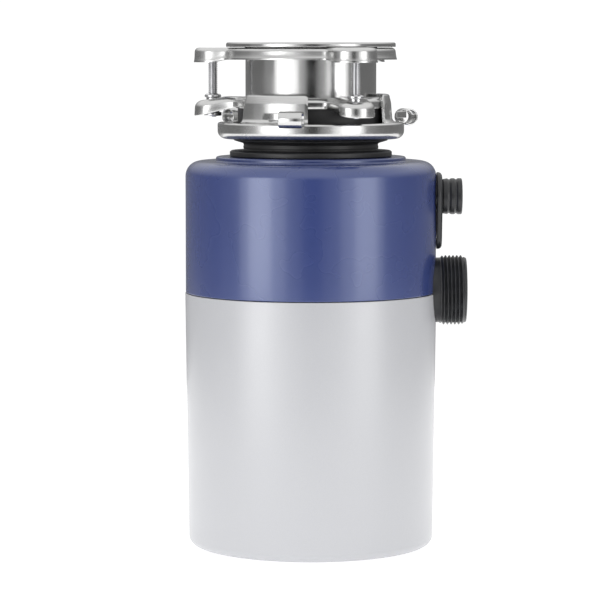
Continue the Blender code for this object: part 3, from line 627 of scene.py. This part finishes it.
def make_casing():
    shell = 2.0
    housing = turned("upper_housing_looks", [
        (82.5, SEAM_Z + 0.2, 0.2), (84.5, SEAM_Z + 0.2, 0.6), (84.5, TOP_Z, 10.0), (64.0, TOP_Z, 0.9),
        (64.0, RING_Z, 1.3), (42.0, RING_Z, 0.5), (42.0, RING_Z - shell, 0), (62.0, RING_Z - shell, 0.5),
        (62.0, TOP_Z - shell, 0.5), (82.5, TOP_Z - shell, 8.0),
    ], steps=10)
    jacket = turned("lower_jacket_looks", [
        (0, 0.0, 0), (82.8, 0.0, 6.0), (84.9, SEAM_Z - 0.2, 0.5), (83.3, SEAM_Z - 0.2, 0.2),
        (81.2, 1.6, 4.4), (0, 1.6, 0),
    ], closed=False, steps=8)
    outlet_at, inlet_at = (0.0, 0.0, OUTLET_Z), (0.0, 0.0, INLET_Z)
    cut(housing, rod(22.7, 60, 100, 72, axis="X", centre=outlet_at))
    cut(jacket, rod(22.7, 60, 100, 72, axis="X", centre=outlet_at))
    cut(housing, rod(10.0, 60, 100, axis="X", centre=inlet_at))
    cut(housing, rod(2.1, 75, 95, axis="X", centre=(0, 0, INLET_SCREW_Z)))
    cut(jacket, rod(5.7, -3, 3, centre=BUTTON_AT))
    cut(jacket, brick((-23.4, 29.6, -3), (23.4, 60.4, 3), 1.4))
    cut(jacket, rod(8.9, -3, 3, centre=BUSHING_AT))
    settle(housing, "upper_housing", sharp=30)
    settle(jacket, "lower_jacket", sharp=30)

    outline = rounded([(-23, 30, 1.0), (23, 30, 1.0), (23, 60, 1.0), (-23, 60, 1.0)])
    inner = rounded([(-22.4, 30.6, 0.8), (22.4, 30.6, 0.8), (22.4, 59.4, 0.8), (-22.4, 59.4, 0.8)])
    cover = build("terminal_cover_looks", [
        [(x, y, 0.4) for x, y in inner], [(x, y, 1.0) for x, y in outline],
        [(x, y, 3.4) for x, y in outline]], False)
    for number, x in enumerate((-COVER_SCREW_X, COVER_SCREW_X), 1):
        cut(cover, rod(1.9, -1, 6, centre=(x, COVER_Y, 0)))
        cut(cover, rod(3.6, -1, 1.9, centre=(x, COVER_Y, 0)))
        screw = turned(f"cover_screw_{number}_looks", [
            (0, 0.45, 0), (1.6, 0.5, 0.4), (3.1, 0.95, 0.3), (3.1, 1.6, 0.2), (1.5, 1.7, 0.1),
            (1.5, 11.0, 0.5), (0, 11.0, 0),
        ], FINE, False, centre=(x, COVER_Y, 0))
        cross_cut(screw, (x, COVER_Y, 0.4), "Z")
        settle(screw, f"cover_screw_{number}")
    settle(cover, "terminal_cover", sharp=30)
    bushing = turned("cord_bushing_looks", [
        (5.5, 0.3, 0.9), (8.4, 0.3, 0.5), (8.4, 2.1, 0.1), (10.2, 2.1, 0.2), (10.2, 4.2, 0.5),
        (8.0, 4.2, 0.3), (8.0, 8.0, 0.8), (5.5, 8.0, 0.9)], FINE, centre=BUSHING_AT)
    settle(bushing, "cord_bushing")
    button = turned("reset_button_looks", [
        (0, 1.1, 0), (3.2, 1.2, 1.0), (4.4, 0.9, 0.3), (5.0, 1.2, 0.3), (5.0, 5.0, 0.2), (2.6, 5.0, 0.2),
        (2.6, 9.6, 0.3), (0, 9.6, 0)], FINE, False, centre=BUTTON_AT)
    settle(button, "reset_button")


def cross_cut(screw, at, axis):
    """A cross recess in a screw head."""
    for long, short in ((1.7, 0.35), (0.35, 1.7)):
        tool = brick((-short, -long, -2), (short, long, 0.75), 0.1)
        if axis == "X":
            moved(tool, Matrix.Rotation(math.radians(-90), 4, "Y"))
        cut(screw, moved(tool, Matrix.Translation(Vector(at) * MM)))


def make_outlets():
    """Drain outlet with a true coarse thread, and the ribbed hose nipple with its clamp plate."""
    sides, bore = 120, 18.5
    rows = [(70.6, [20.0] * sides), (71.0, [20.4] * sides), (79.6, [20.4] * sides), (79.6, [22.0] * sides),
            *screw_rows(21.9, 23.5, OUTLET_PITCH, 86.6, 104.2, sides, 12),
            (104.5, [21.9] * sides), (104.9, [21.4] * sides), (104.9, [bore + 0.5] * sides),
            (104.5, [bore] * sides), (71.0, [bore] * sides), (70.6, [bore + 0.4] * sides)]
    rings = []
    for x, radii in rows:
        ring = []
        for i, r in enumerate(radii):
            turn = 2 * math.pi * i / sides
            ring.append((x, r * math.cos(turn), OUTLET_Z + r * math.sin(turn)))
        rings.append(ring)
    settle(build("discharge_outlet_looks", rings), "discharge_outlet", sharp=50)

    inlet_at = (0.0, 0.0, INLET_Z)
    nipple = turned("dishwasher_inlet_looks", [
        (8.0, 70.6, 0.4), (9.5, 70.6, 0.4), (9.5, 88.8, 0.8), (11.6, 88.8, 0.5), (12.1, 91.8, 0.6),
        (11.3, 93.2, 0.5), (12.2, 94.6, 0.6), (12.2, 96.6, 0.6), (11.3, 97.8, 0.5), (12.2, 99.0, 0.6),
        (12.2, 101.9, 1.0), (8.0, 101.9, 0.5),
    ], 96, axis="X", centre=inlet_at)
    settle(nipple, "dishwasher_inlet")

    def outline(x, inset):
        """A pear shape: round the screw below, wider round the nipple above."""
        ring = []
        for (z, radius), first in (((209.5, 9.2), 180), ((INLET_Z, 16.3), 0)):
            for i in range(33):
                turn = math.radians(first + 180 * i / 32)
                across, up = (radius - inset) * math.cos(turn), (radius - inset) * math.sin(turn)
                ring.append((x, across, z + up))
        return ring

    rim = [(84.9, 0.2), (85.1, 0.0), (85.7, 0.0)]
    for degrees in range(15, 91, 15):
        a = math.radians(degrees)
        rim.append((85.7 + 2.7 * math.sin(a), 2.6 * (1 - math.cos(a))))
    plate = build("inlet_plate_looks", [outline(x, inset) for x, inset in rim], around=False)
    cut(plate, rod(9.9, 80, 95, 72, axis="X", centre=inlet_at))
    cut(plate, rod(2.1, 80, 95, axis="X", centre=(0, 0, INLET_SCREW_Z)))
    cut(plate, rod(3.9, 86.4, 95, axis="X", centre=(0, 0, INLET_SCREW_Z)))
    settle(plate, "inlet_plate", sharp=30)
    screw = turned("inlet_screw_looks", [
        (0, 81.9, 0), (1.7, 81.9, 0.4), (1.7, 86.7, 0.1), (3.4, 86.8, 0.2), (3.4, 87.5, 0.3),
        (2.0, 88.15, 0.6), (0, 88.2, 0),
    ], FINE, False, axis="X", centre=(0, 0, INLET_SCREW_Z))
    cross_cut(screw, (88.2, 0, INLET_SCREW_Z), "X")
    settle(screw, "inlet_screw")


# -------------------------------------------------------------------- stage


def softbox(name, azimuth, distance, size, height, radiance):
    """An upright rectangular light on the front side, turned to the axis, at an azimuth from the front."""
    turn = math.radians(azimuth)
    data = bpy.data.lights.new(name, "AREA")
    data.shape = "RECTANGLE"
    data.size, data.size_y = size
    data.energy = radiance * math.pi * size[0] * size[1]
    made = bpy.data.objects.new(name, data)
    made.location = (distance * math.sin(turn), -distance * math.cos(turn), height)
    aim = -made.location
    aim.z = 0.0
    made.rotation_euler = aim.to_track_quat("-Z", "Y").to_euler()
    bpy.context.scene.collection.objects.link(made)


def make_stage():
    scene = bpy.context.scene
    scene.view_settings.view_transform = "Standard"

    world = bpy.data.worlds.new("studio")
    scene.world = world
    world.use_nodes = True
    tree = world.node_tree
    surround = tree.nodes["Background"]
    surround.inputs["Strength"].default_value = 1.0
    place = tree.nodes.new("ShaderNodeTexCoord")
    axes = tree.nodes.new("ShaderNodeSeparateXYZ")
    tree.links.new(place.outputs["Generated"], axes.inputs["Vector"])
    # A grey studio, with a dark gap in front between the softboxes, an even back and a bright ceiling.
    ramp = tree.nodes.new("ShaderNodeValToRGB")
    ramp.color_ramp.interpolation = "EASE"
    stops = ((0.0, 0.36), (0.34, 0.60), (0.41, 0.48), (0.455, 0.0),
             (0.565, 0.0), (0.61, 0.36), (0.68, 0.46), (1.0, 0.28))
    while len(ramp.color_ramp.elements) < len(stops):
        ramp.color_ramp.elements.new(0.5)
    for element, (position, shade) in zip(ramp.color_ramp.elements, stops):
        element.position, element.color = position, (shade, shade, shade * 1.01, 1.0)
    half = tree.nodes.new("ShaderNodeMath")
    half.operation = "MULTIPLY_ADD"
    half.inputs[1].default_value, half.inputs[2].default_value = 0.5, 0.5
    behind = tree.nodes.new("ShaderNodeMix")
    behind.data_type = "RGBA"
    behind.inputs[7].default_value = (0.22, 0.22, 0.22, 1.0)
    side = tree.nodes.new("ShaderNodeMath")
    side.operation = "GREATER_THAN"
    side.inputs[1].default_value = 0.0
    tree.links.new(axes.outputs["X"], half.inputs[0])
    tree.links.new(half.outputs[0], ramp.inputs["Fac"])
    tree.links.new(axes.outputs["Y"], side.inputs[0])
    tree.links.new(side.outputs[0], behind.inputs[0])
    tree.links.new(ramp.outputs["Color"], behind.inputs[6])
    above = tree.nodes.new("ShaderNodeMix")
    above.data_type = "RGBA"
    above.inputs[7].default_value = (1.05, 1.05, 1.05, 1.0)
    tree.links.new(spread(tree, axes.outputs["Z"], 0.0, 1.0, 0.12, 0.55), above.inputs[0])
    tree.links.new(behind.outputs[2], above.inputs[6])
    tree.links.new(above.outputs[2], surround.inputs["Color"])
    backdrop = tree.nodes.new("ShaderNodeBackground")
    backdrop.inputs["Color"].default_value = (1, 1, 1, 1)
    backdrop.inputs["Strength"].default_value = 1.05
    seen = tree.nodes.new("ShaderNodeLightPath")
    mix = tree.nodes.new("ShaderNodeMixShader")
    tree.links.new(seen.outputs["Is Camera Ray"], mix.inputs["Fac"])
    tree.links.new(surround.outputs[0], mix.inputs[1])
    tree.links.new(backdrop.outputs[0], mix.inputs[2])
    tree.links.new(mix.outputs[0], tree.nodes["World Output"].inputs["Surface"])

    softbox("softbox_left", -44, 1.25, (1.00, 0.66), 0.30, 1.2)
    softbox("softbox_left_core", -46, 1.2, (0.46, 0.60), 0.30, 2.0)
    softbox("softbox_right", 47, 1.25, (0.95, 0.66), 0.30, 0.9)
    softbox("softbox_right_core", 50, 1.2, (0.46, 0.60), 0.30, 1.5)

    corners = ((-900, -900), (900, -900), (900, 900), (-900, 900))
    floor = build("floor", [[(x, y, z) for x, y in corners] for z in (-0.05, -1)], False)
    paper, tree, shader, place = graph("pale_floor", 0.0, 0.9)
    colour = tint(tree, noise(tree, place, 3.0), (0.86, 0.86, 0.86), (0.88, 0.88, 0.88))
    tree.links.new(colour, shader.inputs["Base Color"])
    shader.inputs["Emission Color"].default_value = (1, 1, 1, 1)
    shader.inputs["Emission Strength"].default_value = 0.55
    floor.data.materials.append(paper)

    camera = bpy.data.objects.new("camera", bpy.data.cameras.new("camera"))
    camera.data.sensor_width, camera.data.lens = 36.0, 169.45
    camera.data.clip_start, camera.data.clip_end = 0.1, 50.0
    camera.location = (-0.0073, -1.905, 0.3348)
    camera.rotation_euler = (math.pi / 2 - 0.08855, 0.0, 0.0)
    scene.collection.objects.link(camera)
    scene.camera = camera


make_stage()
make_sink_flange()
make_backup_flange()
make_mounting_ring()
make_screws()
make_lock_ring()
make_lugs()
make_rubber()
make_casing()
make_outlets()

for name, node in frame["nodes"].items():
    if not node.hide_render:
        for face_slot in node.material_slots:
            face_slot.material = LOOKS[KIND[name]]
